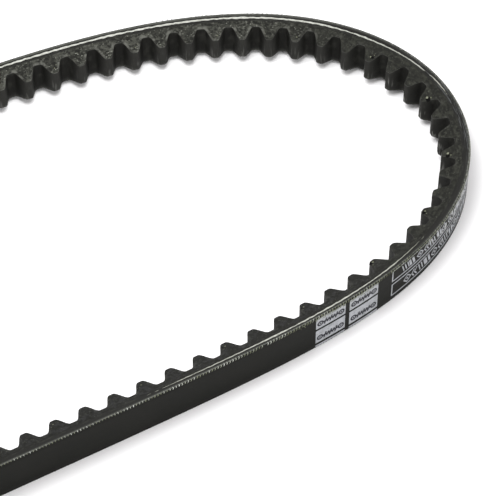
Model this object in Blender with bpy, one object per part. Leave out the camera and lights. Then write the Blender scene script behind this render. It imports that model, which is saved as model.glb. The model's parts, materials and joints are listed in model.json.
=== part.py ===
"""A raw-edge cogged V-belt, lying on its side as an endless loop.

The belt is a laminate: woven canvas on the back, a ply of tension cord wound side by side, a cushion
gum and a fibre-loaded undercord with moulded cogs. Each layer is cut in lengths at thirteen notches.
Twelve of the cuts are hinges about upright axes on the cord line, where a real belt bends, and the cut
in the left bend stays open.

Frame: +X along the loop, +Z up, origin at the loop's centre on the plane that the belt lies on.
"""
import math

import bmesh
import bpy
import numpy as np
from mathutils import Vector

MM = 0.001  # every dimension below is in millimetres, and angles are in degrees

# The section
TOP_WIDTH = 13.0
FLANK_ANGLE = 19.0
CORD_DEPTH = 1.15        # from the back to the cord line, which keeps its length when the belt bends
NOTCH_DEPTH = 4.1        # from the back to the floor of a notch
COG_DEPTH = 8.0          # from the back to the tip of a cog
LAYER_GAP = 0.3
CANVAS = (0.0, 0.35)     # each layer's span of depth, measured from the back
CORD_PLY = (0.65, 1.65)  # from crest to crest of the cord's turns
CORD_TURNS = 8
CORD_WEB = 0.4           # the gum that joins two turns
CUSHION = (CORD_PLY[1] + LAYER_GAP, CORD_PLY[1] + LAYER_GAP + 0.5)
UNDERCORD_TOP = CUSHION[1] + LAYER_GAP

# One side of a notch: share of the pitch from the notch's centre, share of the cog's height
NOTCH_SIDE = ((0.12, 0.0), (0.19, 0.17), (0.36, 0.87), (0.43, 1.0))

# The loop, which looks the same when it is turned half round
COGS = 120
PITCH = 8.4
FAR_EASE = 65.0          # how far the bend reaches along the far run and along the near run
NEAR_EASE = 41.0
EASE_POWER = 1.74
BEND_LEAD = 0.7          # how far before the middle cog the bend is sharpest
STEPS_PER_PITCH = 50     # for adding the bend up along the belt

# The cuts, in pitches from the right bend's middle cog. A cut lies in a notch, half a pitch off a cog.
HINGE_CUTS = (3.5, 8.5, 14.5, 45.5, 51.5, 56.5)
OPEN_CUT = 60.5
CUT_WIDTH = 0.5
ROOT = "right_bend"
NEAR_CHAIN = ("near_right_side", "near_right_lead", "near_run",
              "near_left_lead", "near_left_side", "left_bend_near")
FAR_CHAIN = ("far_right_side", "far_right_lead", "far_run",
             "far_left_lead", "far_left_side", "left_bend_far")

HALF_COGS = COGS // 2


def clear_scene():
    for old in list(bpy.data.objects):
        bpy.data.objects.remove(old, do_unlink=True)


def running_sum(values, step):
    """The integral of evenly spaced values, from nothing at the first one."""
    return np.concatenate([[0.0], np.cumsum((values[1:] + values[:-1]) * step / 2)])


def notch_places():
    """Every notch's centre on the cord line, clockwise seen from above, in millimetres.

    The bend's sharpness is a bell about the middle of the bend, and it turns the belt by half a turn.
    The other half of the loop is the same line turned half round.
    """
    along = np.linspace(-HALF_COGS / 2, HALF_COGS / 2, HALF_COGS * STEPS_PER_PITCH + 1) * PITCH
    step = PITCH / STEPS_PER_PITCH
    from_middle = along + BEND_LEAD
    reach = np.where(from_middle < 0, FAR_EASE, NEAR_EASE)
    bell = np.exp(-0.5 * np.abs(from_middle / reach) ** EASE_POWER)
    turned = running_sum(bell, step)
    heading = -math.pi * turned / turned[-1]
    line = np.column_stack([running_sum(np.cos(heading), step), running_sum(np.sin(heading), step)])
    line -= (line[0] + line[-1]) / 2
    notches = line[STEPS_PER_PITCH // 2::STEPS_PER_PITCH]
    return np.concatenate([notches, -notches])


NOTCHES = notch_places()


def notch_index(pitches):
    """Which notch lies this many pitches from the right bend's middle cog, positive to the near side."""
    return round(pitches + (HALF_COGS - 1) / 2) % COGS


def cord_point(index):
    return Vector(NOTCHES[index % COGS])


def facet(index):
    """The direction and the outward normal of the cog that follows a notch."""
    direction = (cord_point(index + 1) - cord_point(index)).normalized()
    return direction, Vector((-direction.y, direction.x))


def notch_point(index, depth):
    """The point at a depth on the plane that halves the belt's turn at a notch."""
    before, after = facet(index - 1)[1], facet(index)[1]
    middle = (before + after).normalized()
    return cord_point(index) + middle * (CORD_DEPTH - depth) / middle.dot(after)


def cog_point(index, share, depth):
    """A point on the cog that follows a notch, at a share of the pitch from that notch."""
    direction, outward = facet(index)
    centre = (cord_point(index) + cord_point(index + 1)) / 2
    return centre + direction * (share - 0.5) * PITCH + outward * (CORD_DEPTH - depth)


def end_point(index, depth, is_first, is_last):
    """A notch's point, moved along its own cog by half the cut's width at the end of a length."""
    point = notch_point(index, depth)
    if is_first:
        point += facet(index)[0] * CUT_WIDTH / 2
    if is_last:
        point -= facet(index - 1)[0] * CUT_WIDTH / 2
    return point


def cog_outline():
    """(share of the pitch, depth) along one cog, between its two notches."""
    rise = [(share, NOTCH_DEPTH + height * (COG_DEPTH - NOTCH_DEPTH)) for share, height in NOTCH_SIDE]
    return rise + [(1 - share, depth) for share, depth in reversed(rise)]


def flank_heights(depth):
    """The heights of the upper and lower flank at a depth. The canvas's own edges are upright."""
    inset = depth * math.tan(math.radians(FLANK_ANGLE)) if depth > CANVAS[1] else 0.0
    return TOP_WIDTH - inset, inset


def flat_section(span):
    """The section of a flat layer, as (depth, height) corners."""
    outer, inner = span
    return [(outer, flank_heights(outer)[0]), (inner, flank_heights(inner)[0]),
            (inner, flank_heights(inner)[1]), (outer, flank_heights(outer)[1])]


def cord_section():
    """The section of the cord ply: a crest over each turn of the cord, and a web of gum between turns."""
    outer, inner = CORD_PLY
    top, bottom = flank_heights(CORD_DEPTH)
    spacing = (top - bottom) / CORD_TURNS
    inward, outward = [], []
    for turn in range(CORD_TURNS):
        crest = top - (turn + 0.5) * spacing
        inward.append((inner, crest))
        outward.append((outer, crest))
        if turn < CORD_TURNS - 1:
            inward.append((CORD_DEPTH + CORD_WEB / 2, crest - spacing / 2))
            outward.append((CORD_DEPTH - CORD_WEB / 2, crest - spacing / 2))
    return [(CORD_DEPTH, top)] + inward + [(CORD_DEPTH, bottom)] + outward[::-1]


def add_flat_layer(mesh, span, pivot, section):
    """A section carried from notch to notch."""
    first, last = span
    rings = []
    for index in range(first, last + 1):
        ring = []
        for depth, height in section:
            local = end_point(index, depth, index == first, index == last) - pivot
            ring.append(mesh.verts.new(Vector((local.x, local.y, height)) * MM))
        rings.append(ring)
    for here, after in zip(rings, rings[1:]):
        for corner in range(len(section)):
            previous = corner - 1
            mesh.faces.new([here[previous], here[corner], after[corner], after[previous]])
    mesh.faces.new(rings[0])
    mesh.faces.new(reversed(rings[-1]))


def add_cogs(mesh, span, pivot, outline):
    """The undercord between two notches. Each cog is a straight cell, so it turns only at the notches."""
    first, last = span

    def edge(point, depth):
        local = point - pivot
        return [mesh.verts.new(Vector((local.x, local.y, height)) * MM) for height in flank_heights(depth)]

    def station(index, depth):
        return edge(end_point(index, depth, index == first, index == last), depth)

    outer = [station(index, UNDERCORD_TOP) for index in range(first, last + 1)]
    floor = station(first, NOTCH_DEPTH)
    mesh.faces.new([*outer[0], *reversed(floor)])
    for cog in range(last - first):
        edges = [floor] + [edge(cog_point(first + cog, share, depth), depth) for share, depth in outline]
        edges.append(station(first + cog + 1, NOTCH_DEPTH))
        for side in (0, 1):
            mesh.faces.new([outer[cog][side], outer[cog + 1][side]] + [e[side] for e in reversed(edges)])
        mesh.faces.new([*outer[cog], *reversed(outer[cog + 1])])
        for start, end in zip(edges, edges[1:]):
            mesh.faces.new([*start, *reversed(end)])
        floor = edges[-1]
    mesh.faces.new([*outer[-1], *reversed(floor)])


def layer_mesh(name, span, pivot, layer):
    """One length of one layer, as a closed solid with its material."""
    mesh = bmesh.new()
    layer["add"](mesh, span, pivot, layer["shape"])
    bmesh.ops.recalc_face_normals(mesh, faces=mesh.faces)
    data = bpy.data.meshes.new(name)
    mesh.to_mesh(data)
    mesh.free()
    data.materials.append(layer["material"])
    return data


def rubber(name, colour, roughness):
    material = bpy.data.materials.new(name)
    material.use_nodes = True
    shader = material.node_tree.nodes["Principled BSDF"]
    shader.inputs["Base Color"].default_value = (*colour, 1.0)
    shader.inputs["Roughness"].default_value = roughness
    shader.inputs["Metallic"].default_value = 0.0
    return material


def layer(name, colour, roughness, add, shape):
    return {"name": name, "material": rubber(name, colour, roughness), "add": add, "shape": shape}


def belt_layers():
    """The belt's layers, from the back inwards."""
    return (
        layer("back_canvas", (0.040, 0.040, 0.036), 0.55, add_flat_layer, flat_section(CANVAS)),
        layer("cord_ply", (0.62, 0.61, 0.56), 0.70, add_flat_layer, cord_section()),
        layer("cushion_gum", (0.030, 0.030, 0.028), 0.60, add_flat_layer, flat_section(CUSHION)),
        layer("cogged_undercord", (0.055, 0.055, 0.048), 0.65, add_cogs, cog_outline()),
    )


def add_body(body, span, pivot, parent, layers):
    """A length of the belt: an empty on its hinge's axis, and one object for each layer."""
    joint = bpy.data.objects.new(f"{body}_pivot", None)
    bpy.context.scene.collection.objects.link(joint)
    here = Vector((pivot.x, pivot.y, 0.0)) * MM
    joint.parent = parent[0] if parent else None
    joint.location = here - parent[1] if parent else here
    for belt_layer in layers:
        name = f"{belt_layer['name']}_{body}"
        piece = bpy.data.objects.new(name, layer_mesh(name, span, pivot, belt_layer))
        piece.parent = joint
        bpy.context.scene.collection.objects.link(piece)
    return joint, here


def notch_span(start, end):
    """The notches from start to end, in pitches, as indices that rise even past the list's end."""
    first = notch_index(start)
    return first, first + round(end - start)


def build():
    layers = belt_layers()
    root = add_body(ROOT, notch_span(-HINGE_CUTS[0], HINGE_CUTS[0]), Vector((0.0, 0.0)), None, layers)
    near_ends = HINGE_CUTS[1:] + (OPEN_CUT,)
    far_ends = HINGE_CUTS[1:] + (COGS - OPEN_CUT,)
    near = far = root
    for body, hinge, end in zip(NEAR_CHAIN, HINGE_CUTS, near_ends):
        pivot = cord_point(notch_index(hinge))
        near = add_body(body, notch_span(hinge, end), pivot, near, layers)
    for body, hinge, end in zip(FAR_CHAIN, HINGE_CUTS, far_ends):
        pivot = cord_point(notch_index(-hinge))
        far = add_body(body, notch_span(-end, -hinge), pivot, far, layers)


clear_scene()
build()
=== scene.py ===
"""The looks of a raw-edge cogged V-belt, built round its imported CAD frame.

Places on the belt are (along, depth, height): along is in cog pitches from the right bend's middle cog,
positive towards the near run, depth is in millimetres from the back, and height is in millimetres from
the floor. The belt lies on its side, so its width is upright. Sections carry the layers over one hinge
each, and neighbouring sections meet on a cog near the middle of a rigid body.
"""
import json
import math

import bmesh
import bpy
import numpy as np
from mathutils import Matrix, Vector

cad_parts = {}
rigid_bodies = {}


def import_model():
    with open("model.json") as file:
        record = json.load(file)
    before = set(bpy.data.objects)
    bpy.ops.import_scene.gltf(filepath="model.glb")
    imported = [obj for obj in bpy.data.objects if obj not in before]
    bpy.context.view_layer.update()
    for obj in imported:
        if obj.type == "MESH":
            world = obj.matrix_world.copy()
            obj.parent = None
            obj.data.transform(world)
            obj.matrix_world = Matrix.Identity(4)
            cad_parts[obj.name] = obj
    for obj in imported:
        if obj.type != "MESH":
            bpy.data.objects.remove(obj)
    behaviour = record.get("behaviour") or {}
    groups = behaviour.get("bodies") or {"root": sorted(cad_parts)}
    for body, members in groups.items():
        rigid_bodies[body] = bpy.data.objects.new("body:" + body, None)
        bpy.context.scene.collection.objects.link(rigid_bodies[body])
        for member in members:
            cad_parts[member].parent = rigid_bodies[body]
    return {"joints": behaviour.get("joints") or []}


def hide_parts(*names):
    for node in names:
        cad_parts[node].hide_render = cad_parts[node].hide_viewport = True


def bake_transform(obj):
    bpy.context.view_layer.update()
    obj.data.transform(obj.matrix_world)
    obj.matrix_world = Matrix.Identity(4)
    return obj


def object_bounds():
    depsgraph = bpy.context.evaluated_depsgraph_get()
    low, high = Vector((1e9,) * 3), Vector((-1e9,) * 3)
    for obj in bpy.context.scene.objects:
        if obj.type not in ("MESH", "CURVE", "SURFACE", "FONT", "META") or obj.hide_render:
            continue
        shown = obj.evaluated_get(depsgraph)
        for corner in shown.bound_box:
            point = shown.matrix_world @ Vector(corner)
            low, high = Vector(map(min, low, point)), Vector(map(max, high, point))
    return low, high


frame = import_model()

MM = 0.001
CAD_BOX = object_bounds()

# The loop, by the same rule as the CAD: a bell-shaped bend, and the other half turned half round
COGS = 120
PITCH = 8.4  # in millimetres
FAR_EASE = 65.0  # how far the bend reaches along the far run and along the near run, in millimetres
NEAR_EASE = 41.0
EASE_POWER = 1.74
BEND_LEAD = 0.7  # how far before the middle cog the bend is sharpest, in millimetres
STEPS_PER_PITCH = 50
HALF_LOOP = COGS / 2
OPEN_CUT = 60.5
END_GAP = 0.006  # between the belt's two ends at the open cut, in pitches
HINGE_TOLERANCE = 0.1  # between a hinge of the frame and the loop's line, in millimetres

# The section, in millimetres. Depths are measured from the back.
WIDTH = (CAD_BOX[1][2] - CAD_BOX[0][2]) / MM
FLANK_SLOPE = math.tan(math.radians(19.0))
CORD_DEPTH = 1.15  # the cord line, which keeps its length when the belt bends
NOTCH_DEPTH = 4.1  # the floor of a notch
COG_DEPTH = 8.0  # the tip of a cog
NOTCH_SIDE = (0.10, 0.43)  # where a notch's side starts and ends, as shares of the pitch from its centre
CANVAS_INNER = 0.5  # the inner face of each layer
CORD_PLY_INNER = 1.8
CUSHION_INNER = 2.4
CORNER = 0.15  # how far a cut corner is rounded
SHARP_ANGLE = math.radians(50.0)

# Rings of points in each pitch
CANVAS_STEPS = 8
CORD_PLY_STEPS = 10
CUSHION_STEPS = 6
UNDERCORD_STEPS = 24
BARE_CORD_STEPS = 20
MARGIN = 0.2  # how far hairs and pips stay from a piece's ends, in pitches

# How uneven each surface is, in millimetres
BACK_ROUGHNESS = 0.02
CORD_PLY_ROUGHNESS = 0.03
CUSHION_ROUGHNESS = 0.025
FLANK_ROUGHNESS = 0.04
COG_ROUGHNESS = 0.03

# Bare cord on the cut flanks: (start, end, how far it tapers), in pitches
CORD_RADIUS = 0.42  # in millimetres
SHORTEST_STRAND = 0.2
BARE_UPPER = ((-41.0, -2.6, 0.6), (-3.1, -1.0, 0.9), (4.0, 17.2, 2.5), (24.0, 50.0, 3.0))
BARE_LOWER = ((-52.0, -20.0, 3.0), (-12.0, 14.0, 3.0), (22.0, 58.0, 3.0))
# Where it wanders: pitches along, depth in millimetres, share of the full size, and cleanness
CORD_PATH = (
    (-60.0, 1.34, 0.86, 0.65), (-9.0, 1.33, 0.86, 0.68), (-7.0, 1.52, 0.78, 0.62), (-5.2, 1.76, 0.62, 0.46),
    (-4.0, 1.62, 0.54, 0.32), (-3.1, 1.46, 0.56, 0.46), (-2.7, 1.42, 0.50, 0.36), (-2.5, 1.24, 0.46, 0.26),
    (-1.2, 1.28, 0.40, 0.28), (4.6, 1.86, 0.44, 0.02), (6.0, 1.74, 0.50, 0.06), (7.2, 1.48, 0.62, 0.32),
    (9.0, 1.30, 0.76, 0.45), (11.0, 1.30, 0.76, 0.45), (12.5, 1.50, 0.68, 0.42), (14.0, 1.58, 0.46, 0.22),
    (16.6, 1.66, 0.35, 0.05), (24.0, 1.30, 0.80, 0.60), (60.0, 1.30, 0.80, 0.60))

# How grey with dust the outer edge of the cut is, against pitches along
DUST = ((-60.0, 1.0), (-13.0, 1.0), (-9.0, 0.9), (-6.0, 0.6), (-3.0, 0.45), (3.0, 0.45), (5.0, 0.5),
        (8.0, 0.35), (11.0, 0.6), (13.0, 0.75), (15.0, 0.9), (60.0, 0.9))

# Thread ends of the canvas: pitches along, length down the back and lean of the foot in millimetres,
# and lightness
THREAD_SPACING = 0.89
THREAD_RADIUS = 0.12
UPPER_THREADS = (
    (-60.0, 0.25, 0.10, 0.15), (-39.0, 0.30, 0.10, 0.15), (-36.5, 0.60, 0.20, 0.30),
    (-33.0, 0.30, 0.10, 0.15), (-28.5, 0.60, 0.20, 0.30), (-25.0, 0.25, 0.10, 0.15),
    (-6.0, 0.25, 0.10, 0.20), (-3.0, 0.20, 0.10, 0.30), (1.0, 0.25, 0.15, 0.50),
    (4.0, 0.40, 0.20, 0.30), (6.0, 0.80, 0.30, 0.30), (9.0, 0.90, 0.34, 0.46),
    (12.0, 0.72, 0.30, 0.58), (14.0, 0.52, 0.25, 0.62), (16.5, 0.35, 0.15, 0.62),
    (18.0, 0.25, 0.05, 0.60), (26.0, 0.20, -0.05, 0.50), (60.0, 0.25, 0.00, 0.25))
LOWER_THREADS = ((-60.0, 0.25, 0.10, 0.15), (60.0, 0.25, 0.10, 0.15))
# Frayed stretches of the upper corner: start, end, and loose hairs in each pitch
FRAYS = ((-36.0, -33.0, 5), (-13.2, -8.2, 6), (5.2, 6.8, 5), (9.2, 12.0, 6), (38.0, 40.5, 5))
HAIR_RADIUS = 0.10

# Torn pips on the upper flank, one on every third cog: pitches along, and depth and size in millimetres
PIP_COGS = 3
PIP_PLACE = 0.10  # from the cog's middle, in pitches
PIPS = ((-60.0, 6.4, 0.4), (-6.0, 6.4, 0.45), (-3.0, 6.15, 1.0), (2.0, 6.15, 1.0), (4.0, 6.9, 0.7),
        (7.0, 6.9, 0.7), (10.0, 6.3, 0.45), (60.0, 6.3, 0.4))

# The printed label: stretches in pitches along, everything else in millimetres
INK = 0.03  # how far it stands out from the back
SMUDGE_GLARE_INK = 0.4 * INK
INK_ROOT = 0.05  # how deep its underside lies in the canvas
BLOCKS = ((7.62, 8.80), (8.97, 10.12))
BLOCK_ROWS = ((1.95, 7.15), (7.95, 12.3))
BLOCK_STRIP = (0.3, 1.0)  # the narrow strip below the rows
LABEL_TOP = 12.3
BOX = (0.3, 7.0)
BOX_ROWS = ((2.0, 6.6), (8.1, 12.35))
BOX_LEAD = 3.6  # how much of a box stays empty at the end next to the blocks
HALF_LINE = 0.2  # half the width of a box's outline
# Where smudged ink with painted glare covers the boxes round the bend
SMUDGE_GLARE_SPAN = (0.3, 5.2)
SMUDGE_GLARE_INSET = 0.25  # from the foot and head of a box
MARK_SPACING = 3.0
MARK_SHARE = 0.34  # half a mark's height, as a share of its row's
MARK_STROKE = 0.4
BOLDER = 0.2  # how much thicker the marks' strokes are round the bend
BOLD_FADE = (2.5, 4.2)  # where they thin out again, in pitches along
THICK_SLANT = 0.8
DOT_HALF = 0.3
STROKE_STEP = 0.6  # about how long the straight pieces of a stroke and of a bar are
BAR_STEP = 0.7

# The sign on the blocks, in millimetres from its middle
SIGN_HEIGHT = 1.9  # from the row's foot
SIGN_INK = 2 * INK
SIGN_RINGS = (-3.45, 3.45)
RING_RADIUS = 0.80
RING_POINTS = 15
HUB_HALF = 0.25
BAR_HALF = 0.28
SIGN_SLANTS = ((-1.8, 1.05), (-0.9, 0.75), (0.0, 1.05), (0.9, 0.75), (1.8, 1.05))  # place and half height
SLANT_LEAN = 0.35
SIGN_STROKE = 0.5

# The order of each piece's materials: the canvas, the cord ply and cushion, the undercord, the label
BACK, CUT_EDGE, THREAD = 0, 1, 2
GUM, YARN = 0, 1
FLANK, MOULDED, TORN = 0, 1, 2
WHITE, DARK, SMUDGE_GLARE = 0, 1, 2

# The room, in metres. A lamp is its name, its place, its width and its power in watts.
FLOOR_REACH = 3.0
FLOOR_DROP = 0.0001
FLOOR_COLOUR = (0.88, 0.88, 0.885)
ROOM_COLOUR = (1.0, 0.985, 0.985)
ROOM_STRENGTH = 0.98
LAMPS = (("key", (0.13, 0.0, 0.2), 0.14, 0.46), ("front", (0.15, -0.53, 0.28), 0.25, 0.9))

# The camera: the point that it looks at, its turn and tilt, its distance in metres, and its lens
AIM = (0.1492, -0.02405, 0.0)
VIEW_TURN = math.radians(29.146)
VIEW_ELEVATION = math.radians(50.65)
VIEW_DISTANCE = 0.645
LENS = 167.08
SENSOR = 36.0
NEAR_CLIP = 0.01


# ---------------------------------------------------------------- the belt's line

def running_sum(values, step):
    return np.concatenate([[0.0], np.cumsum((values[1:] + values[:-1]) * step / 2)])


def loop_line():
    """The cord line as (along, x, y, heading), in pitches, millimetres and radians."""
    count = round(HALF_LOOP * STEPS_PER_PITCH)
    along = np.linspace(-HALF_LOOP / 2, HALF_LOOP / 2, count + 1)
    step = PITCH / STEPS_PER_PITCH
    from_middle = along * PITCH + BEND_LEAD
    reach = np.where(from_middle < 0, FAR_EASE, NEAR_EASE)
    turned = running_sum(np.exp(-0.5 * np.abs(from_middle / reach) ** EASE_POWER), step)
    heading = -math.pi * turned / turned[-1]
    x = running_sum(np.cos(heading), step)
    y = running_sum(np.sin(heading), step)
    x -= (x[0] + x[-1]) / 2
    y -= (y[0] + y[-1]) / 2
    half = np.array([along, x, y, heading])
    before = np.array([along - HALF_LOOP, -x, -y, heading + math.pi])
    after = np.array([along + HALF_LOOP, -x, -y, heading - math.pi])
    return np.concatenate([before[:, :-1], half, after[:, 1:]], axis=1)


LINE = loop_line()


def on_belt(along, depth, height):
    """Points in metres for places on the belt, given as arrays of one shape."""
    x = np.interp(along, LINE[0], LINE[1])
    y = np.interp(along, LINE[0], LINE[2])
    heading = np.interp(along, LINE[0], LINE[3])
    outward = CORD_DEPTH - depth
    return np.stack([x - np.sin(heading) * outward, y + np.cos(heading) * outward, height], axis=-1) * MM


def hinge_station(position):
    """Where along the belt a joint of the record is."""
    x, y = position[0] / MM, position[1] / MM
    on_loop = (LINE[0] > OPEN_CUT - COGS) & (LINE[0] < OPEN_CUT)
    gap = np.where(on_loop, np.hypot(LINE[1] - x, LINE[2] - y), np.inf)
    if gap.min() > HINGE_TOLERANCE:
        raise ValueError("the loop's rule doesn't pass through the frame's hinges")
    return float(LINE[0][gap.argmin()])


def upper_flank(depth):
    return WIDTH - depth * FLANK_SLOPE


def lower_flank(depth):
    return depth * FLANK_SLOPE


def cog_depth(along):
    """The depth of the undercord's inner face: a notch at every half pitch and a cog at every pitch."""
    from_notch = 0.5 - np.abs(along - np.round(along))
    start, end = NOTCH_SIDE
    rise = np.clip((from_notch - start) / (end - start), 0.0, 1.0)
    return NOTCH_DEPTH + (COG_DEPTH - NOTCH_DEPTH) * rise * rise * (3 - 2 * rise)


def ripple(a, b, seed):
    """A smooth, repeatable roughness, mostly between -1 and 1: five waves that keep out of step."""
    total = 0.0
    for k in range(1, 6):
        p, q = math.sin(12.9 * k + seed), math.cos(7.3 * k + 2.0 * seed)
        total = total + np.sin(a * (1.1 + 1.7 * k + p) + b * (2.3 * k + q) + 5.0 * k * seed) / math.sqrt(k)
    return total / 3.0


def smooth(value, low, high):
    """A share that eases from 0 at low to 1 at high."""
    share = np.clip((value - low) / (high - low), 0.0, 1.0)
    return share * share * (3 - 2 * share)


def table(along, rows, column):
    """One column of a table of rows that start with pitches along, read between the rows."""
    return np.interp(along, [row[0] for row in rows], [row[column] for row in rows])


# ---------------------------------------------------------------- mesh helpers

class Shell:
    """Gathers closed shells, placed on the belt, into one mesh. A tone at each point steers its colour."""

    def __init__(self):
        self.places, self.tones, self.faces, self.slots = [], [], [], []
        self.count = 0

    def add(self, places, faces, slots, tone=0.0):
        """places is (n, 3) as along in pitches, depth and height in millimetres."""
        places = np.asarray(places, dtype=float).reshape(-1, 3)
        self.places.append(places)
        self.tones.append(np.broadcast_to(np.asarray(tone, dtype=float).ravel(), len(places)))
        self.faces += [tuple(self.count + i for i in face) for face in faces]
        self.slots += slots
        self.count += len(places)

    def object(self, name, materials):
        """One object of all the shells, which keeps each point's place and tone for its looks."""
        places = np.concatenate(self.places)
        points = on_belt(places[:, 0], places[:, 1], places[:, 2])
        mesh = bpy.data.meshes.new(name)
        mesh.from_pydata(points.tolist(), [], self.faces)
        for material in materials:
            mesh.materials.append(material)
        mesh.polygons.foreach_set("material_index", np.asarray(self.slots, dtype=np.int32))
        places[:, 0] *= PITCH
        stored = mesh.attributes.new("place", "FLOAT_VECTOR", "POINT")
        stored.data.foreach_set("vector", places.astype(np.float32).ravel())
        stored = mesh.attributes.new("tone", "FLOAT", "POINT")
        stored.data.foreach_set("value", np.concatenate(self.tones).astype(np.float32))
        work = bmesh.new()
        work.from_mesh(mesh)
        bmesh.ops.recalc_face_normals(work, faces=work.faces)
        work.to_mesh(mesh)
        work.free()
        mesh.shade_smooth()
        mesh.set_sharp_from_angle(angle=SHARP_ANGLE)
        obj = bpy.data.objects.new(name, mesh)
        bpy.context.scene.collection.objects.link(obj)
        return obj


def tube_faces(rings, corners):
    """Quads between rings of corners, closed by a cap at each end."""
    faces = []
    for i in range(rings - 1):
        for j in range(corners):
            k = (j + 1) % corners
            here, after = i * corners, (i + 1) * corners
            faces.append((here + j, after + j, after + k, here + k))
    last = (rings - 1) * corners
    return faces + [tuple(range(corners)), tuple(range(last, last + corners))]


def full_turn(corners):
    """The angles of the corners of a round ring."""
    return np.linspace(0, 2 * math.pi, corners, endpoint=False)


def sweep(shell, along, depth, height, slots, tone=0.0):
    """A closed solid with one ring of (depth, height) corners for each station along the belt.

    slots gives the material of the faces that start at each corner of the ring.
    """
    rings, corners = depth.shape
    here = np.repeat(along[:, None], corners, axis=1)
    face_slots = list(slots) * (rings - 1) + [slots[0]] * 2
    shell.add(np.stack([here, depth, height], axis=-1), tube_faces(rings, corners), face_slots,
              np.broadcast_to(tone, depth.shape))


def stations(start, end, per_pitch):
    return np.linspace(start, end, round((end - start) * per_pitch) + 1)


def constant_ring(along, ring):
    """The same (depth, height) corners at every station."""
    return [np.tile([corner[axis] for corner in ring], (len(along), 1)).astype(float) for axis in (0, 1)]


# ---------------------------------------------------------------- materials
#
# Colours are linear. A noise's numbers are features in each millimetre, and a span's are levels of what
# it maps: a noise or a tone from 0 to 1, or a place on the belt in millimetres.

class Look:
    """A Principled material, and short calls for the nodes that feed it."""

    def __init__(self, name, roughness, specular):
        self.material = bpy.data.materials.new(name)
        self.material.use_nodes = True
        self.tree = self.material.node_tree
        self.shader = self.tree.nodes["Principled BSDF"]
        self.shader.inputs["Roughness"].default_value = roughness
        self.shader.inputs["Specular IOR Level"].default_value = specular
        self.place = self.node("ShaderNodeAttribute", attribute_name="place").outputs["Vector"]

    def node(self, kind, **settings):
        node = self.tree.nodes.new(kind)
        for key, value in settings.items():
            setattr(node, key, value)
        return node

    def link(self, source, target):
        self.tree.links.new(source, target)

    def tone(self):
        return self.node("ShaderNodeAttribute", attribute_name="tone").outputs["Fac"]

    def scaled(self, x, y, z):
        """The belt's coordinates, in features per millimetre along, in depth and in height."""
        node = self.node("ShaderNodeVectorMath", operation="MULTIPLY")
        self.link(self.place, node.inputs[0])
        node.inputs[1].default_value = (x, y, z)
        return node.outputs["Vector"]

    def noise(self, x, y, z, detail=2.0, rough=0.5):
        node = self.node("ShaderNodeTexNoise")
        node.inputs["Scale"].default_value = 1.0
        node.inputs["Detail"].default_value = detail
        node.inputs["Roughness"].default_value = rough
        self.link(self.scaled(x, y, z), node.inputs["Vector"])
        return node.outputs["Fac"]

    def axis(self, index):
        node = self.node("ShaderNodeSeparateXYZ")
        self.link(self.place, node.inputs[0])
        return node.outputs[index]

    def span(self, value, low, high, out_low=0.0, out_high=1.0):
        """Maps low..high to out_low..out_high, clamped and smooth."""
        node = self.node("ShaderNodeMapRange", interpolation_type="SMOOTHSTEP")
        self.link(value, node.inputs["Value"])
        for key, number in (("From Min", low), ("From Max", high), ("To Min", out_low), ("To Max", out_high)):
            node.inputs[key].default_value = number
        return node.outputs["Result"]

    def times(self, a, b):
        return self.maths("MULTIPLY", a, b)

    def plus(self, a, b):
        return self.maths("ADD", a, b)

    def maths(self, operation, a, b=None):
        node = self.node("ShaderNodeMath", operation=operation)
        for socket, value in zip(node.inputs, (a, b)):
            if isinstance(value, (int, float)):
                socket.default_value = value
            elif value is not None:
                self.link(value, socket)
        return node.outputs[0]

    def mix(self, share, first, second):
        """Blends two colours, each an RGB triple or a socket."""
        node = self.node("ShaderNodeMix", data_type="RGBA")
        self.link(share, node.inputs[0])
        for socket, value in ((node.inputs[6], first), (node.inputs[7], second)):
            if isinstance(value, tuple):
                socket.default_value = (*value, 1.0)
            else:
                self.link(value, socket)
        return node.outputs[2]

    def colour(self, value):
        self.link(value, self.shader.inputs["Base Color"])

    def roughness(self, value):
        self.link(value, self.shader.inputs["Roughness"])

    def bump(self, height, distance, strength):
        """Raises the surface by distance, in millimetres, where height is 1."""
        node = self.node("ShaderNodeBump")
        node.inputs["Strength"].default_value = strength
        node.inputs["Distance"].default_value = distance * MM
        self.link(height, node.inputs["Height"])
        self.link(node.outputs["Normal"], self.shader.inputs["Normal"])


def canvas_back_look():
    """Rubber-filled canvas: a faint bias weave under a satin skin, rubbed in patches, and painted shade along
    its lower edge.
    """
    look = Look("canvas_back_rubber", 0.55, 0.05)
    weave = []
    for slant in (1, -1):
        lean = look.times(look.axis(2), 6.0 * slant)
        weave.append(look.maths("SINE", look.plus(lean, look.times(look.axis(0), 9.0))))
    cloth = look.maths("MAXIMUM", weave[0], weave[1])
    patches = look.noise(0.06, 0.2, 0.16, detail=4.0)
    grime = look.noise(0.7, 0.7, 0.9, detail=3.0)
    base = look.mix(look.span(patches, 0.35, 0.68), (0.0068, 0.0070, 0.0058), (0.0115, 0.0115, 0.0102))
    base = look.mix(look.span(grime, 0.58, 0.8, 0.0, 0.4), base, (0.019, 0.020, 0.017))
    # Painted shade: the colour darkens to near black over the lowest millimetre of the back, where it stands
    # on the floor.
    look.colour(look.mix(look.span(look.axis(2), 0.3, 1.1, 0.8, 0.0), base, (0.002, 0.002, 0.002)))
    look.roughness(look.span(patches, 0.3, 0.7, 0.42, 0.6))
    fine = look.noise(2.6, 2.6, 2.6, detail=3.0)
    look.bump(look.plus(look.times(cloth, 0.25), fine), 0.02, 0.5)
    return look.material


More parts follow.
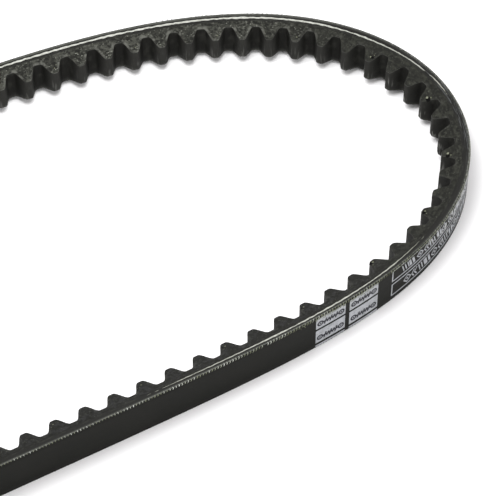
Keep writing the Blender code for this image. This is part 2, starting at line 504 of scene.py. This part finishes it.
def canvas_edge_look():
    """The canvas cut through: two plies with a light line between them, greyer where it is dusty."""
    look = Look("canvas_cut_edge", 0.8, 0.12)
    bend = look.span(look.maths("ABSOLUTE", look.axis(0)), 3.0 * PITCH, 6.0 * PITCH, 1.0, 0.0)
    lines = look.span(look.noise(0.12, 9.0, 2.0, detail=3.0), 0.4, 0.6)
    ends = look.noise(1.3, 3.5, 3.5, detail=2.0)
    clean = look.mix(lines, (0.008, 0.008, 0.008), (0.022, 0.023, 0.021))
    dusty = look.mix(lines, (0.024, 0.025, 0.022), (0.068, 0.070, 0.062))
    base = look.mix(look.tone(), clean, dusty)
    from_middle = look.maths("ABSOLUTE", look.maths("SUBTRACT", look.axis(1), 0.26))
    seam = look.times(look.span(from_middle, 0.04, 0.12, 1.0, 0.0), look.span(ends, 0.35, 0.55))
    base = look.mix(look.times(seam, 0.6), base, (0.11, 0.115, 0.105))
    strength = look.plus(look.times(bend, 0.45), 0.3)
    dashes = look.times(look.span(ends, 0.52, 0.62), strength)
    look.colour(look.mix(dashes, base, (0.16, 0.165, 0.155)))
    look.bump(ends, 0.05, 0.7)
    return look.material


def cord_gum_look():
    """The gum on each side of the cord: dusty by the canvas, black by the cord, and streaked in the bend."""
    look = Look("cord_gum", 0.75, 0.12)
    smear = look.noise(0.5, 3.0, 3.0, detail=3.0)
    outside = look.mix(look.tone(), (0.009, 0.009, 0.009), (0.046, 0.048, 0.042))
    inside = look.span(look.axis(1), CANVAS_INNER, CANVAS_INNER + 0.5)
    near = look.span(look.axis(0), 0.0, 2.0 * PITCH)
    base = look.mix(inside, outside, look.mix(near, (0.0085, 0.0085, 0.0075), (0.0120, 0.0120, 0.0110)))
    base = look.mix(look.span(smear, 0.55, 0.8, 0.0, 0.35), base, (0.030, 0.031, 0.027))
    from_bend = look.maths("ABSOLUTE", look.plus(look.axis(0), PITCH))
    bend = look.span(from_bend, PITCH, 3.5 * PITCH, 0.6, 0.0)
    streaks = look.span(look.noise(0.16, 5.0, 5.0, detail=2.0), 0.56, 0.64)
    look.colour(look.mix(look.times(bend, streaks), base, (0.10, 0.105, 0.108)))
    look.bump(smear, 0.04, 0.6)
    return look.material


def cord_yarn_look():
    """Bare tension cord: twisted yarn, off-white where it is clean."""
    look = Look("cord_yarn", 0.85, 0.15)
    dirt = look.noise(0.3, 1.5, 1.5, detail=3.0)
    fibre = look.noise(1.2, 6.0, 6.0, detail=2.0)
    fresh = look.mix(look.tone(), (0.24, 0.245, 0.205), (0.62, 0.63, 0.595))
    worn = look.mix(look.tone(), (0.13, 0.135, 0.110), (0.36, 0.365, 0.335))
    base = look.mix(look.span(fibre, 0.35, 0.65), worn, fresh)
    look.colour(look.mix(look.span(dirt, 0.55, 0.8, 0.0, 0.6), base, (0.12, 0.125, 0.10)))
    look.bump(fibre, 0.05, 0.6)
    return look.material


def cushion_look():
    """Soft black gum, cut smooth."""
    look = Look("cushion_rubber", 0.7, 0.12)
    smear = look.noise(0.4, 2.0, 2.0, detail=4.0)
    look.colour(look.mix(look.span(smear, 0.45, 0.75), (0.0095, 0.0095, 0.0085), (0.022, 0.023, 0.019)))
    look.bump(smear, 0.04, 0.5)
    return look.material


def flank_look():
    """The cut flank of the undercord: dark olive rubber with pale fibre ends, and a paler band of scuffs and
    painted highlight along the cogs' rims.

    The far run is cut roughest, the bend smoother, and the near run is a greyer black.
    """
    look = Look("cut_flank_rubber", 0.8, 0.11)
    far = look.span(look.axis(0), -11.0 * PITCH, -5.5 * PITCH, 1.0, 0.0)
    near = look.span(look.axis(0), 4.0 * PITCH, 9.0 * PITCH)
    mottle = look.noise(0.7, 0.9, 0.9, detail=5.0, rough=0.66)
    clouds = look.noise(0.16, 0.35, 0.35, detail=2.0)
    light = look.mix(near, (0.0250, 0.0258, 0.0210), (0.0205, 0.0205, 0.0205))
    light = look.mix(far, light, (0.0420, 0.0430, 0.0362))
    base = look.mix(look.span(mottle, 0.40, 0.62), (0.0075, 0.0077, 0.0064), light)
    base = look.mix(look.span(clouds, 0.40, 0.62, 0.0, 0.5), base, (0.0110, 0.0112, 0.0095))
    strength = look.plus(look.times(far, 0.70), 0.18)
    flecks = look.span(look.noise(1.5, 1.8, 1.8, detail=2.0), 0.57, 0.68)
    base = look.mix(look.times(flecks, strength), base, (0.074, 0.076, 0.065))
    # Painted highlight with scuffs: an uneven paler band along the cogs' rims, where the cut edge catches the
    # light.
    rim = look.times(look.span(look.tone(), 0.0, 0.6), strength)
    rim = look.times(rim, look.span(look.axis(1), 4.8, 6.8, 1.0, 0.55))
    uneven = look.span(look.noise(0.35, 0.5, 0.5, detail=5.0, rough=0.6), 0.45, 0.60)
    base = look.mix(look.times(rim, uneven), base, (0.086, 0.088, 0.077))
    fibres = look.node("ShaderNodeTexVoronoi")
    fibres.inputs["Scale"].default_value = 1.0
    look.link(look.scaled(1.1, 1.5, 1.5), fibres.inputs["Vector"])
    dots = look.times(look.span(fibres.outputs["Distance"], 0.14, 0.28, 1.0, 0.0), strength)
    chosen = look.span(look.noise(0.5, 0.5, 0.5, detail=1.0), 0.52, 0.60)
    look.colour(look.mix(look.times(dots, chosen), base, (0.17, 0.175, 0.150)))
    scratches = look.noise(0.3, 5.0, 5.0, detail=2.0)
    look.bump(look.plus(mottle, look.times(scratches, 0.4)), 0.14, 0.9)
    look.roughness(look.span(mottle, 0.3, 0.7, 0.7, 0.9))
    return look.material


def moulded_look():
    """The moulded cogs and notches: black rubber with mould grain, painted shade in the notches, a painted
    highlight along the bevels and lower rims, and scratched tips.
    """
    look = Look("moulded_rubber", 0.7, 0.06)
    grain = look.noise(3.0, 3.0, 3.0, detail=3.0)
    marks = look.noise(0.35, 0.5, 0.30, detail=4.0)
    # Painted shade: the skin is darkest at the notch floors and lighter towards the cog tips.
    cog = look.span(look.axis(1), NOTCH_DEPTH + 0.4, COG_DEPTH - 0.6)
    skin = look.mix(cog, (0.0070, 0.0070, 0.0060), (0.0160, 0.0160, 0.0144))
    skin = look.mix(look.span(marks, 0.45, 0.75, 0.0, 0.6), skin, (0.026, 0.026, 0.023))
    # Painted highlight and reflection: the bevels are lightened unevenly, and the lower rim most, as if lit
    # by the floor.
    painted_rim_light = look.times(look.span(look.tone(), 0.0, 1.0), look.span(marks, 0.36, 0.56, 0.35, 1.0))
    skin = look.mix(painted_rim_light, skin, (0.080, 0.081, 0.075))
    bend = look.span(look.maths("ABSOLUTE", look.axis(0)), 3.5 * PITCH, 6.0 * PITCH, 1.0, 0.25)
    low = look.times(look.span(look.axis(2), 4.5, 9.0, 1.0, 0.0), bend)
    tip = look.span(look.axis(1), COG_DEPTH - 1.6, COG_DEPTH - 0.2)
    scratches = look.span(look.noise(1.5, 0.5, 0.16, detail=2.0), 0.54, 0.66)
    look.colour(look.mix(look.times(look.times(low, tip), scratches), skin,
                         (0.14, 0.14, 0.132)))
    look.roughness(look.span(marks, 0.35, 0.7, 0.6, 0.8))
    look.bump(grain, 0.04, 0.7)
    return look.material


def fibre_look():
    """Thread ends and torn fibre, from black scars through dirty olive to nearly white."""
    look = Look("loose_fibre", 0.9, 0.06)
    dark = look.mix(look.span(look.tone(), -0.6, 0.0), (0.0025, 0.0025, 0.0025), (0.038, 0.041, 0.029))
    middle = look.mix(look.span(look.tone(), 0.0, 0.5), dark, (0.150, 0.158, 0.110))
    look.colour(look.mix(look.span(look.tone(), 0.45, 1.0), middle, (0.50, 0.515, 0.485)))
    look.bump(look.noise(4.0, 4.0, 4.0), 0.03, 0.5)
    return look.material


def ink_look(name, fresh, faded):
    """Label ink, worn through to the rubber in specks and frayed along its upper edge."""
    look = Look(name, 0.5, 0.12)
    wear = look.noise(1.6, 1.6, 2.2, detail=4.0, rough=0.65)
    fray = look.span(look.axis(2), 10.6, LABEL_TOP, 0.0, 0.16)
    broken = look.span(look.plus(wear, fray), 0.56, 0.72, 0.0, 0.9)
    tint = look.noise(0.5, 0.5, 0.5, detail=2.0)
    ink = look.mix(look.span(tint, 0.35, 0.7), fresh, faded)
    under = look.mix(look.span(look.axis(2), 10.4, 11.4), (0.022, 0.024, 0.019), (0.090, 0.098, 0.058))
    look.colour(look.mix(broken, ink, under))
    look.bump(wear, 0.02, 0.4)
    return look.material


def smudge_glare_look():
    """Ink rubbed into streaks over the rubber, with painted glare, where the label goes round the bend."""
    look = Look("label_smudge_glare", 0.6, 0.05)
    streaks = look.noise(0.70, 1.0, 0.32, detail=4.0, rough=0.7)
    fading = look.span(look.axis(0), 2.0 * PITCH, SMUDGE_GLARE_SPAN[1] * PITCH, -0.01, -0.05)
    higher = look.span(look.axis(2), 1.5, LABEL_TOP, -0.07, 0.03)
    share = look.span(look.plus(look.plus(streaks, fading), higher), 0.50, 0.53)
    # Painted highlight: the light streaks stand for ink smears and for glare on the label in the bend.
    look.colour(look.mix(share, (0.008, 0.008, 0.007), (0.37, 0.375, 0.36)))
    look.bump(streaks, 0.03, 0.6)
    return look.material


# ---------------------------------------------------------------- the layers

def add_threads(shell, start, end, upper):
    """Thread ends that lie over a corner of the canvas, from its cut edge onto the back."""
    first, last = math.ceil(start * PITCH / THREAD_SPACING), math.floor(end * PITCH / THREAD_SPACING)
    rows, seed = (UPPER_THREADS, 0.0) if upper else (LOWER_THREADS, 7.0)
    rings, corners = 5, 5
    faces = tube_faces(rings, corners)
    side, lift = np.cos(full_turn(corners)), np.sin(full_turn(corners))
    # Ring by ring, from the cut edge over the corner and down the back
    onto_back = np.array([0.0, 0.5, 1.0, 1.0, 1.0])[:, None]
    depths = np.array([0.42, 0.14, 0.0, 0.0, 0.0])
    for i in range(first, last):
        here = (i + 0.5) * THREAD_SPACING
        length, lean, tone = [float(table(here / PITCH, rows, column)) for column in (1, 2, 3)]
        wave = [float(ripple(here * 0.02 * k, i * 1.7, k + seed)) for k in range(1, 5)]
        length *= 1.0 + 0.3 * wave[0]
        lean += 0.10 * wave[1]
        radius = THREAD_RADIUS * (1.0 + 0.25 * wave[2]) * min(1.0, 0.5 + length)
        drops = np.array([0.13, 0.04, 0.16, 0.5 * length + 0.12, length + 0.1])
        out = np.array([0.3, 0.8, 1.0, 0.9, 0.3]) * radius * 0.5
        bulk = np.array([0.35, 0.9, 1.0, 0.85, 0.3]) * radius
        runs = here + lean * np.array([-0.4, -0.1, 0.0, 0.5, 1.0])
        proud = out[:, None] + bulk[:, None] * lift * 0.6
        place = np.empty((rings, corners, 3))
        place[..., 0] = (runs[:, None] + bulk[:, None] * side) / PITCH
        place[..., 1] = depths[:, None] - proud * onto_back
        height = WIDTH - drops[:, None] + proud * (1 - onto_back)
        place[..., 2] = height if upper else WIDTH - height
        shell.add(place, faces, [THREAD] * len(faces), min(1.0, max(0.0, tone + 0.35 * wave[3])))


def add_frays(shell, start, end):
    """Loose hairs that stand out of the upper corner where the canvas has frayed."""
    rings, corners = 4, 4
    faces = tube_faces(rings, corners)
    side, lift = np.cos(full_turn(corners)), np.sin(full_turn(corners))
    share = np.array([0.0, 0.35, 0.7, 1.0])
    bulk = HAIR_RADIUS * np.array([1.0, 0.9, 0.7, 0.3])
    for fray_start, fray_end, per_pitch in FRAYS:
        for i in range(math.ceil(fray_start * per_pitch), math.floor(fray_end * per_pitch)):
            wave = [math.sin(i * 12.9 * k + k) for k in range(1, 5)]
            here = i / per_pitch + 0.06 * wave[0]
            if not start + MARGIN < here < end - MARGIN:
                continue
            reach = 0.65 + 0.3 * wave[1]
            run = here * PITCH + reach * share * (0.9 * wave[2]) + 0.15 * share ** 2
            out = -0.05 + reach * share * (0.75 + 0.25 * wave[3])
            up = -0.12 + reach * share * (0.15 + 0.5 * wave[0]) - 0.2 * share ** 2
            place = np.empty((rings, corners, 3))
            place[..., 0] = (run[:, None] + bulk[:, None] * side) / PITCH
            place[..., 1] = -out[:, None]
            place[..., 2] = WIDTH + np.minimum(up, 0.0)[:, None] + bulk[:, None] * lift - 0.07
            shell.add(place, faces, [THREAD] * len(faces), 0.1 + 0.25 * max(0.0, wave[3]))


def canvas_piece(name, start, end, looks):
    """The back canvas, with rounded corners and thread ends along both cut edges."""
    shell = Shell()
    along = stations(start, end, CANVAS_STEPS)
    round_off, nick = 1.5 * CORNER, 0.4 * CORNER
    back = [(0.0, height) for height in np.linspace(WIDTH - round_off, round_off, 9)]
    top = [(depth, upper_flank(depth)) for depth in (CANVAS_INNER, round_off)] + [(nick, WIDTH - nick)]
    bottom = [(depth, WIDTH - height) for depth, height in reversed(top)]
    depth, height = constant_ring(along, top + back + bottom)
    depth += BACK_ROUGHNESS * ripple(along[:, None] * 3.0, height, 1.0) * (depth == 0.0)
    slots = [CUT_EDGE] * 2 + [BACK] * (1 + len(back)) + [CUT_EDGE] * 3
    sweep(shell, along, depth, height, slots, table(along, DUST, 1)[:, None])
    for upper in (True, False):
        add_threads(shell, start, end, upper)
    add_frays(shell, start, end)
    return shell.object(name, looks)


def add_bare_cord(shell, start, end, spans, upper):
    """A strand of the cord that the cut has laid bare, sinking back into the gum at its ends."""
    corners = 10
    turn = full_turn(corners)[None, :]
    for span_start, span_end, taper in spans:
        low, high = max(span_start, start), min(span_end, end)
        if high - low < SHORTEST_STRAND:
            continue
        along = stations(low, high, BARE_CORD_STEPS)
        run = along[:, None] * PITCH
        rising = smooth(along, span_start, span_start + taper)
        bare = rising * (1 - smooth(along, span_end - taper, span_end))
        bare = (bare * (0.80 + 0.25 * ripple(along * PITCH * 0.12, 0.0, 3.0)))[:, None]
        centre, size, clean = [table(along, CORD_PATH, column)[:, None] for column in (1, 2, 3)]
        wander = 0.03 * ripple(along * 0.9, 0.0, 5.0) + 0.06 * ripple(along * 4.6, 0.0, 7.0)
        centre = centre + wander[:, None]
        full = CORD_RADIUS * size
        twist = 1.0 + 0.13 * np.cos(2 * turn - run * 2.2)
        radius = full * twist * (0.45 + 0.55 * bare)
        sunk = full * (0.98 - 0.66 * bare)
        depth = centre + radius * np.cos(turn)
        height = upper_flank(centre) - sunk + radius * np.sin(turn)
        sweep(shell, along, depth, height if upper else WIDTH - height, [YARN] * corners,
              clean * (0.35 + 0.65 * bare))


def flat_ring(along, outer, inner, roughness, seed):
    """A flat layer's section, with slightly uneven cut edges."""
    depths = np.linspace(outer, inner, 5)
    ring = [(d, upper_flank(d)) for d in depths] + [(d, lower_flank(d)) for d in depths[::-1]]
    depth, height = constant_ring(along, ring)
    uneven = roughness * ripple(along[:, None] * PITCH * 0.6, depth * 3.0, seed)
    return depth, height + uneven * np.sign(height - WIDTH / 2)


def cord_piece(name, start, end, looks):
    """The gum that holds the cord, and the cord where the cut has laid it bare on the flanks."""
    shell = Shell()
    along = stations(start, end, CORD_PLY_STEPS)
    depth, height = flat_ring(along, CANVAS_INNER, CORD_PLY_INNER, CORD_PLY_ROUGHNESS, 2.0)
    sweep(shell, along, depth, height, [GUM] * depth.shape[1], table(along, DUST, 1)[:, None])
    add_bare_cord(shell, start, end, BARE_UPPER, True)
    add_bare_cord(shell, start, end, BARE_LOWER, False)
    return shell.object(name, looks)


def cushion_piece(name, start, end, looks):
    """The cushion gum between the cord and the undercord."""
    shell = Shell()
    along = stations(start, end, CUSHION_STEPS)
    depth, height = flat_ring(along, CORD_PLY_INNER, CUSHION_INNER, CUSHION_ROUGHNESS, 3.0)
    sweep(shell, along, depth, height, [GUM] * depth.shape[1])
    return shell.object(name, looks)


def add_lump(shell, along, depth, size, lift, seed, tone):
    """A small ragged lump on the upper flank."""
    rings, corners = 4, 7
    turn = full_turn(corners)[None, :]
    ragged = 1.0 + 0.3 * ripple(turn * 1.3, 0.0, seed)
    reach = size * np.array([1.0, 0.9, 0.5, 0.15])[:, None] * ragged
    place = np.empty((rings, corners, 3))
    place[..., 0] = along + reach * np.cos(turn) / PITCH
    place[..., 1] = depth + 0.75 * reach * np.sin(turn)
    place[..., 2] = upper_flank(place[..., 1]) + lift * np.array([-0.6, 0.4, 0.9, 1.0])[:, None]
    faces = tube_faces(rings, corners)
    shell.add(place, faces, [TORN] * len(faces), tone)


def add_pips(shell, start, end):
    """Torn mould pips: a black scar with two light flakes beside it, on every third cog."""
    for cog in range(math.ceil(start), math.ceil(end)):
        if (cog - 1) % PIP_COGS:
            continue
        jitter = math.sin(cog * 2.7)
        here = cog + PIP_PLACE + 0.02 * jitter
        depth, size = [float(table(cog, PIPS, column)) for column in (1, 2)]
        if not (start <= here - MARGIN and here + MARGIN <= end):
            continue
        scar = 0.95 * size if size > 0.55 else 0.5 * size
        add_lump(shell, here + 0.04, depth + 0.1, scar, 0.05, jitter, -1.0)
        add_lump(shell, here - 0.05, depth + 0.1, 0.50 * size, 0.14, 2.0 + jitter, 0.2 + 0.32 * size)
        add_lump(shell, here + 0.05, depth - 0.75, 0.26 * size, 0.12, 4.0 + jitter, 0.42)


def undercord_piece(name, start, end, looks):
    """The undercord with its moulded cogs: cut flanks outside, moulded skin inside the notches."""
    shell = Shell()
    along = stations(start, end, UNDERCORD_STEPS)
    run = along[:, None] * PITCH
    inner = cog_depth(along)[:, None]
    # The flanks: rows of points from the cushion down to the rim, closer together near the rim
    steep = np.gradient(inner[:, 0], along * PITCH)[:, None]
    from_rim = np.array([1.4, 0.9, 0.5, 0.22, 0.0]) + 0.9 * CORNER
    shallow = CUSHION_INNER + (inner - from_rim[0] - CUSHION_INNER) * np.array([0.0, 0.35, 0.7])
    rows = np.concatenate([shallow, inner - from_rim], axis=1)
    near_rim = np.clip(1.0 - (inner - rows) / np.hypot(1.0, steep), 0.0, 1.0)
    upper = upper_flank(rows) + FLANK_ROUGHNESS * ripple(run * 0.9, rows * 1.3, 4.0)
    lower = lower_flank(rows) - FLANK_ROUGHNESS * ripple(run * 0.9, rows * 1.3, 9.0)
    # The moulded face between the flanks, from a bevel at the top to a bevel at the bottom
    crown, foot = upper_flank(inner) - CORNER, lower_flank(inner) + CORNER
    bevel = inner - 0.3 * CORNER
    shares = np.array([0.0, 0.07, 0.2, 0.4, 0.6, 0.8, 0.93, 1.0])
    face = crown + (foot - crown) * shares
    face_depth = inner + COG_ROUGHNESS * ripple(run * 0.8, face * 0.7, 6.0)
    # One closed ring at each station
    depth = np.concatenate([rows, bevel, face_depth, bevel, rows[:, ::-1]], axis=1)
    height = np.concatenate([upper, crown + 0.7 * CORNER, face, foot - 0.7 * CORNER, lower[:, ::-1]], axis=1)
    # Tones for the painted highlight on the bevels and the painted floor reflection on the lower rim
    rim_light_tones = np.broadcast_to([0.2, 0.0, 0.0, 0.0, 0.0, 0.0, 0.2, 0.6], face.shape)
    edge = np.ones_like(bevel)
    tone = np.concatenate([near_rim, edge, rim_light_tones, edge, near_rim[:, ::-1]], axis=1)
    cut, moulded = rows.shape[1], len(shares) + 1
    slots = [FLANK] * cut + [MOULDED] * moulded + [FLANK] * (cut + 1)
    sweep(shell, along, depth, height, slots, tone)
    add_pips(shell, start, end)
    return shell.object(name, looks)


# ---------------------------------------------------------------- the printed label

def add_film(shell, low, high, slot, lift):
    """A film of ink between two lines of (millimetres along, height) points, laid on the back."""
    place = np.empty((len(low), 4, 3))
    ring = ((low, INK_ROOT), (low, -lift), (high, -lift), (high, INK_ROOT))
    for corner, (line, depth) in enumerate(ring):
        place[:, corner, 0] = line[:, 0] / PITCH
        place[:, corner, 1] = depth
        place[:, corner, 2] = line[:, 1]
    faces = tube_faces(len(low), 4)
    shell.add(place, faces, [slot] * len(faces))


def add_bar(shell, start, end, foot, head, slot, lift=INK):
    """An upright-ended bar of ink, in millimetres, in steps short enough to follow the bend."""
    count = max(2, round(abs(end - start) / BAR_STEP) + 1)
    run = np.linspace(start, end, count)
    low, high = [np.stack([run, np.full(count, height)], 1) for height in (foot, head)]
    add_film(shell, low, high, slot, lift)


def add_stroke(shell, points, width, slot, lift):
    """A line of ink with a given width through (millimetres along, height) points."""
    fine = []
    for (a, b), (c, d) in zip(points, points[1:]):
        count = max(1, round(math.hypot(c - a, d - b) / STROKE_STEP))
        fine += [(a + (c - a) * k / count, b + (d - b) * k / count) for k in range(count)]
    fine = np.array(fine + [points[-1]], dtype=float)
    way = np.gradient(fine, axis=0)
    way /= np.hypot(way[:, 0], way[:, 1])[:, None]
    side = np.stack([-way[:, 1], way[:, 0]], 1) * width / 2
    add_film(shell, fine - side, fine + side, slot, lift)


def add_square(shell, here, height, half, slot, lift):
    add_bar(shell, here - half, here + half, height - half, height + half, slot, lift)


def ring_points(here, height, radius):
    turns = np.linspace(0, 2 * math.pi, RING_POINTS)
    return [(here + radius * math.cos(turn), height + radius * math.sin(turn)) for turn in turns]


def add_drive_sign(shell, middle, height, slot):
    """A generic sign for a belt drive: two hubbed rings joined by a bar, with slants across it."""
    for place in SIGN_RINGS:
        add_stroke(shell, ring_points(middle + place, height, RING_RADIUS), SIGN_STROKE, slot, SIGN_INK)
        add_square(shell, middle + place, height, HUB_HALF, slot, SIGN_INK)
    reach = SIGN_RINGS[1] - RING_RADIUS
    add_bar(shell, middle - reach, middle + reach, height - BAR_HALF, height + BAR_HALF, slot, SIGN_INK)
    for place, tall in SIGN_SLANTS:
        foot = (middle + place + SLANT_LEAN, height - tall)
        head = (middle + place - SLANT_LEAN, height + tall)
        add_stroke(shell, [foot, head], SIGN_STROKE, slot, SIGN_INK)


def block_label(name, looks):
    """Two white blocks. Each is a narrow strip at the foot and two rows with a drive sign in them."""
    shell = Shell()
    for start, end in BLOCKS:
        low, high = start * PITCH, end * PITCH
        add_bar(shell, low, high, *BLOCK_STRIP, WHITE)
        for foot, head in BLOCK_ROWS:
            add_bar(shell, low, high, foot, head, WHITE)
            add_drive_sign(shell, (low + high) / 2, foot + SIGN_HEIGHT, DARK)
    return shell.object(name, looks)


def add_slants(shell, here, middle, half, offsets, width, slot):
    """Slanted strokes as high as the marks, at offsets in half heights."""
    for offset in offsets:
        foot, head = here + (offset - 0.3) * half, here + (offset + 0.3) * half
        add_stroke(shell, [(foot, middle - half), (head, middle + half)], width, slot, INK)


def add_marks(shell, start, end, foot, head, row, slot):
    """A row of plain marks that spell nothing: chevrons, rhombs with a dot, and thick and thin slants."""
    half = MARK_SHARE * (head - foot)
    middle = (foot + head) / 2
    low, high = middle - half, middle + half
    first, last = BOX[0] * PITCH + half, BOX[1] * PITCH - BOX_LEAD - half
    for index in range(math.floor(start / MARK_SPACING) - 1, math.ceil(end / MARK_SPACING) + 1):
        here = (index + 0.5 + 0.4 * row) * MARK_SPACING + 0.25 * math.sin(2.4 * index + row)
        if not (start <= here < end and first < here < last):
            continue
        kind = (index + 2 * row) % 4
        bold = MARK_STROKE + BOLDER * float(smooth(-here, -BOLD_FADE[1] * PITCH, -BOLD_FADE[0] * PITCH))
        if kind == 0:
            for offset in (-0.1, 0.7):
                tip, tail = here + offset * half, here + (offset - 0.7) * half
                add_stroke(shell, [(tail, low), (tip, middle), (tail, high)], bold, slot, INK)
        elif kind == 1:
            sides = [(here - half, middle), (here, high), (here + half, middle), (here, low)]
            add_stroke(shell, sides + sides[:1], bold, slot, INK)
            add_square(shell, here, middle, DOT_HALF, slot, INK)
        elif kind == 2:
            add_slants(shell, here, middle, half, (-0.5, 0.5), THICK_SLANT, slot)
        else:
            add_slants(shell, here, middle, half, (-0.8, 0.0, 0.8), bold, slot)


def box_label(name, start, end, looks):
    """A stretch of two outlined boxes, one over the other, with a row of marks in each and smudged ink with
    painted glare.
    """
    shell = Shell()
    low, high = start * PITCH, end * PITCH
    smudge_glare_start, smudge_glare_end = max(low, SMUDGE_GLARE_SPAN[0] * PITCH), min(high, SMUDGE_GLARE_SPAN[1] * PITCH)
    for row, (foot, head) in enumerate(BOX_ROWS):
        for level in (foot, head):
            add_bar(shell, low, high, level - HALF_LINE, level + HALF_LINE, WHITE)
        if end == BOX[1]:
            add_bar(shell, high - 2 * HALF_LINE, high, foot - HALF_LINE, head + HALF_LINE, WHITE)
        add_marks(shell, low, high, foot + HALF_LINE, head - HALF_LINE, row, WHITE)
        if smudge_glare_start < smudge_glare_end:
            add_bar(shell, smudge_glare_start, smudge_glare_end, foot + SMUDGE_GLARE_INSET, head - SMUDGE_GLARE_INSET, SMUDGE_GLARE,
                    SMUDGE_GLARE_INK)
    return shell.object(name, looks)


# ---------------------------------------------------------------- sections of the belt

def belt_sections():
    """One stretch of belt for each hinge. It ends on a cog near the middle of the body on each side."""
    hinge_of = {joint["child"]: hinge_station(joint["pos_m"]) for joint in frame["joints"]}
    root = frame["joints"][0]["parent"]
    sections = []
    for joint in frame["joints"]:
        parent, child = joint["parent"], joint["child"]
        here = hinge_of[child]
        before = 0.0 if parent == root else float(round((hinge_of[parent] + here) / 2))
        beyond = [hinge_of[other["child"]] for other in frame["joints"] if other["parent"] == child]
        if beyond:
            after = float(round((here + beyond[0]) / 2))
        else:
            after = OPEN_CUT - END_GAP / 2 if here > 0 else OPEN_CUT - COGS + END_GAP / 2
        sections.append({"parent": parent, "child": child, "hinge": here, "from_root": parent == root,
                         "span": (min(before, after), max(before, after))})
    return sections


def follow(obj):
    """Bakes a piece's placement into its mesh."""
    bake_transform(obj)


def stand_for(section, layer):
    """Hides its layer's CAD node, which the piece stands in for. For the near run's first piece, the root's
    node is hidden too.
    """
    nodes = [f"{layer}_{section['child']}"]
    if section["from_root"] and section["hinge"] > 0:
        nodes.append(f"{layer}_{section['parent']}")
    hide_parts(*nodes)


def build_belt():
    canvas_looks = [canvas_back_look(), canvas_edge_look(), fibre_look()]
    cord_looks = [cord_gum_look(), cord_yarn_look()]
    cushion_looks = [cushion_look()]
    undercord_looks = [flank_look(), moulded_look(), fibre_look()]
    for section in belt_sections():
        start, end = section["span"]
        tag = section["child"]
        pieces = [
            ("back_canvas", canvas_piece(f"canvas_to_{tag}", start, end, canvas_looks)),
            ("cord_ply", cord_piece(f"cord_to_{tag}", start, end, cord_looks)),
            ("cushion_gum", cushion_piece(f"cushion_to_{tag}", start, end, cushion_looks)),
            ("cogged_undercord", undercord_piece(f"undercord_to_{tag}", start, end, undercord_looks)),
        ]
        for layer, piece in pieces:
            follow(piece)
            stand_for(section, layer)


def build_label():
    white = ink_look("label_white", (0.32, 0.33, 0.35), (0.24, 0.25, 0.26))
    dark = ink_look("label_dark", (0.010, 0.010, 0.016), (0.018, 0.018, 0.023))
    inks = [white, dark, smudge_glare_look()]
    for section in belt_sections():
        start, end = section["span"]
        labels = []
        if start <= BLOCKS[0][0] < end:
            labels.append(block_label("label_blocks", inks))
        low, high = max(start, BOX[0]), min(end, BOX[1])
        if low < high:
            labels.append(box_label(f"label_box_{section['child']}", low, high, inks))
        for label in labels:
            follow(label)


# ---------------------------------------------------------------- room, light and camera

def add_floor():
    """A plain pale floor."""
    mesh = bpy.data.meshes.new("floor")
    corners = [(x * FLOOR_REACH, y * FLOOR_REACH, 0) for x, y in ((-1, -1), (1, -1), (1, 1), (-1, 1))]
    mesh.from_pydata(corners, [], [(0, 1, 2, 3)])
    look = Look("floor_paint", 0.9, 0.05)
    look.shader.inputs["Base Color"].default_value = (*FLOOR_COLOUR, 1.0)
    mesh.materials.append(look.material)
    floor = bpy.data.objects.new("floor", mesh)
    floor.location.z = -FLOOR_DROP
    bpy.context.scene.collection.objects.link(floor)


def add_light():
    """A white room, a soft round lamp over the loop and a faint low one in front of it."""
    world = bpy.data.worlds.new("studio")
    world.use_nodes = True
    sky = world.node_tree.nodes["Background"]
    sky.inputs["Color"].default_value = (*ROOM_COLOUR, 1.0)
    sky.inputs["Strength"].default_value = ROOM_STRENGTH
    bpy.context.scene.world = world
    for name, place, width, power in LAMPS:
        data = bpy.data.lights.new(name, "AREA")
        data.shape = "DISK"
        data.size = width
        data.energy = power
        lamp = bpy.data.objects.new(name, data)
        lamp.location = place
        beam = Vector((place[0], 0.0, 0.0)) - lamp.location
        lamp.rotation_euler = beam.to_track_quat("-Z", "Y").to_euler()
        lamp.visible_camera = False
        bpy.context.scene.collection.objects.link(lamp)


def add_camera():
    """The camera at its viewing angle, and a display that shows the colours as they are."""
    data = bpy.data.cameras.new("camera")
    data.lens = LENS
    data.sensor_width = SENSOR
    data.clip_start = NEAR_CLIP
    camera = bpy.data.objects.new("camera", data)
    gaze = Vector((math.sin(VIEW_TURN) * math.cos(VIEW_ELEVATION),
                   math.cos(VIEW_TURN) * math.cos(VIEW_ELEVATION), -math.sin(VIEW_ELEVATION)))
    camera.location = Vector(AIM) - gaze * VIEW_DISTANCE
    camera.rotation_euler = gaze.to_track_quat("-Z", "Y").to_euler()
    bpy.context.scene.collection.objects.link(camera)
    bpy.context.scene.camera = camera
    bpy.context.scene.view_settings.view_transform = "Standard"


build_belt()
build_label()
add_floor()
add_light()
add_camera()
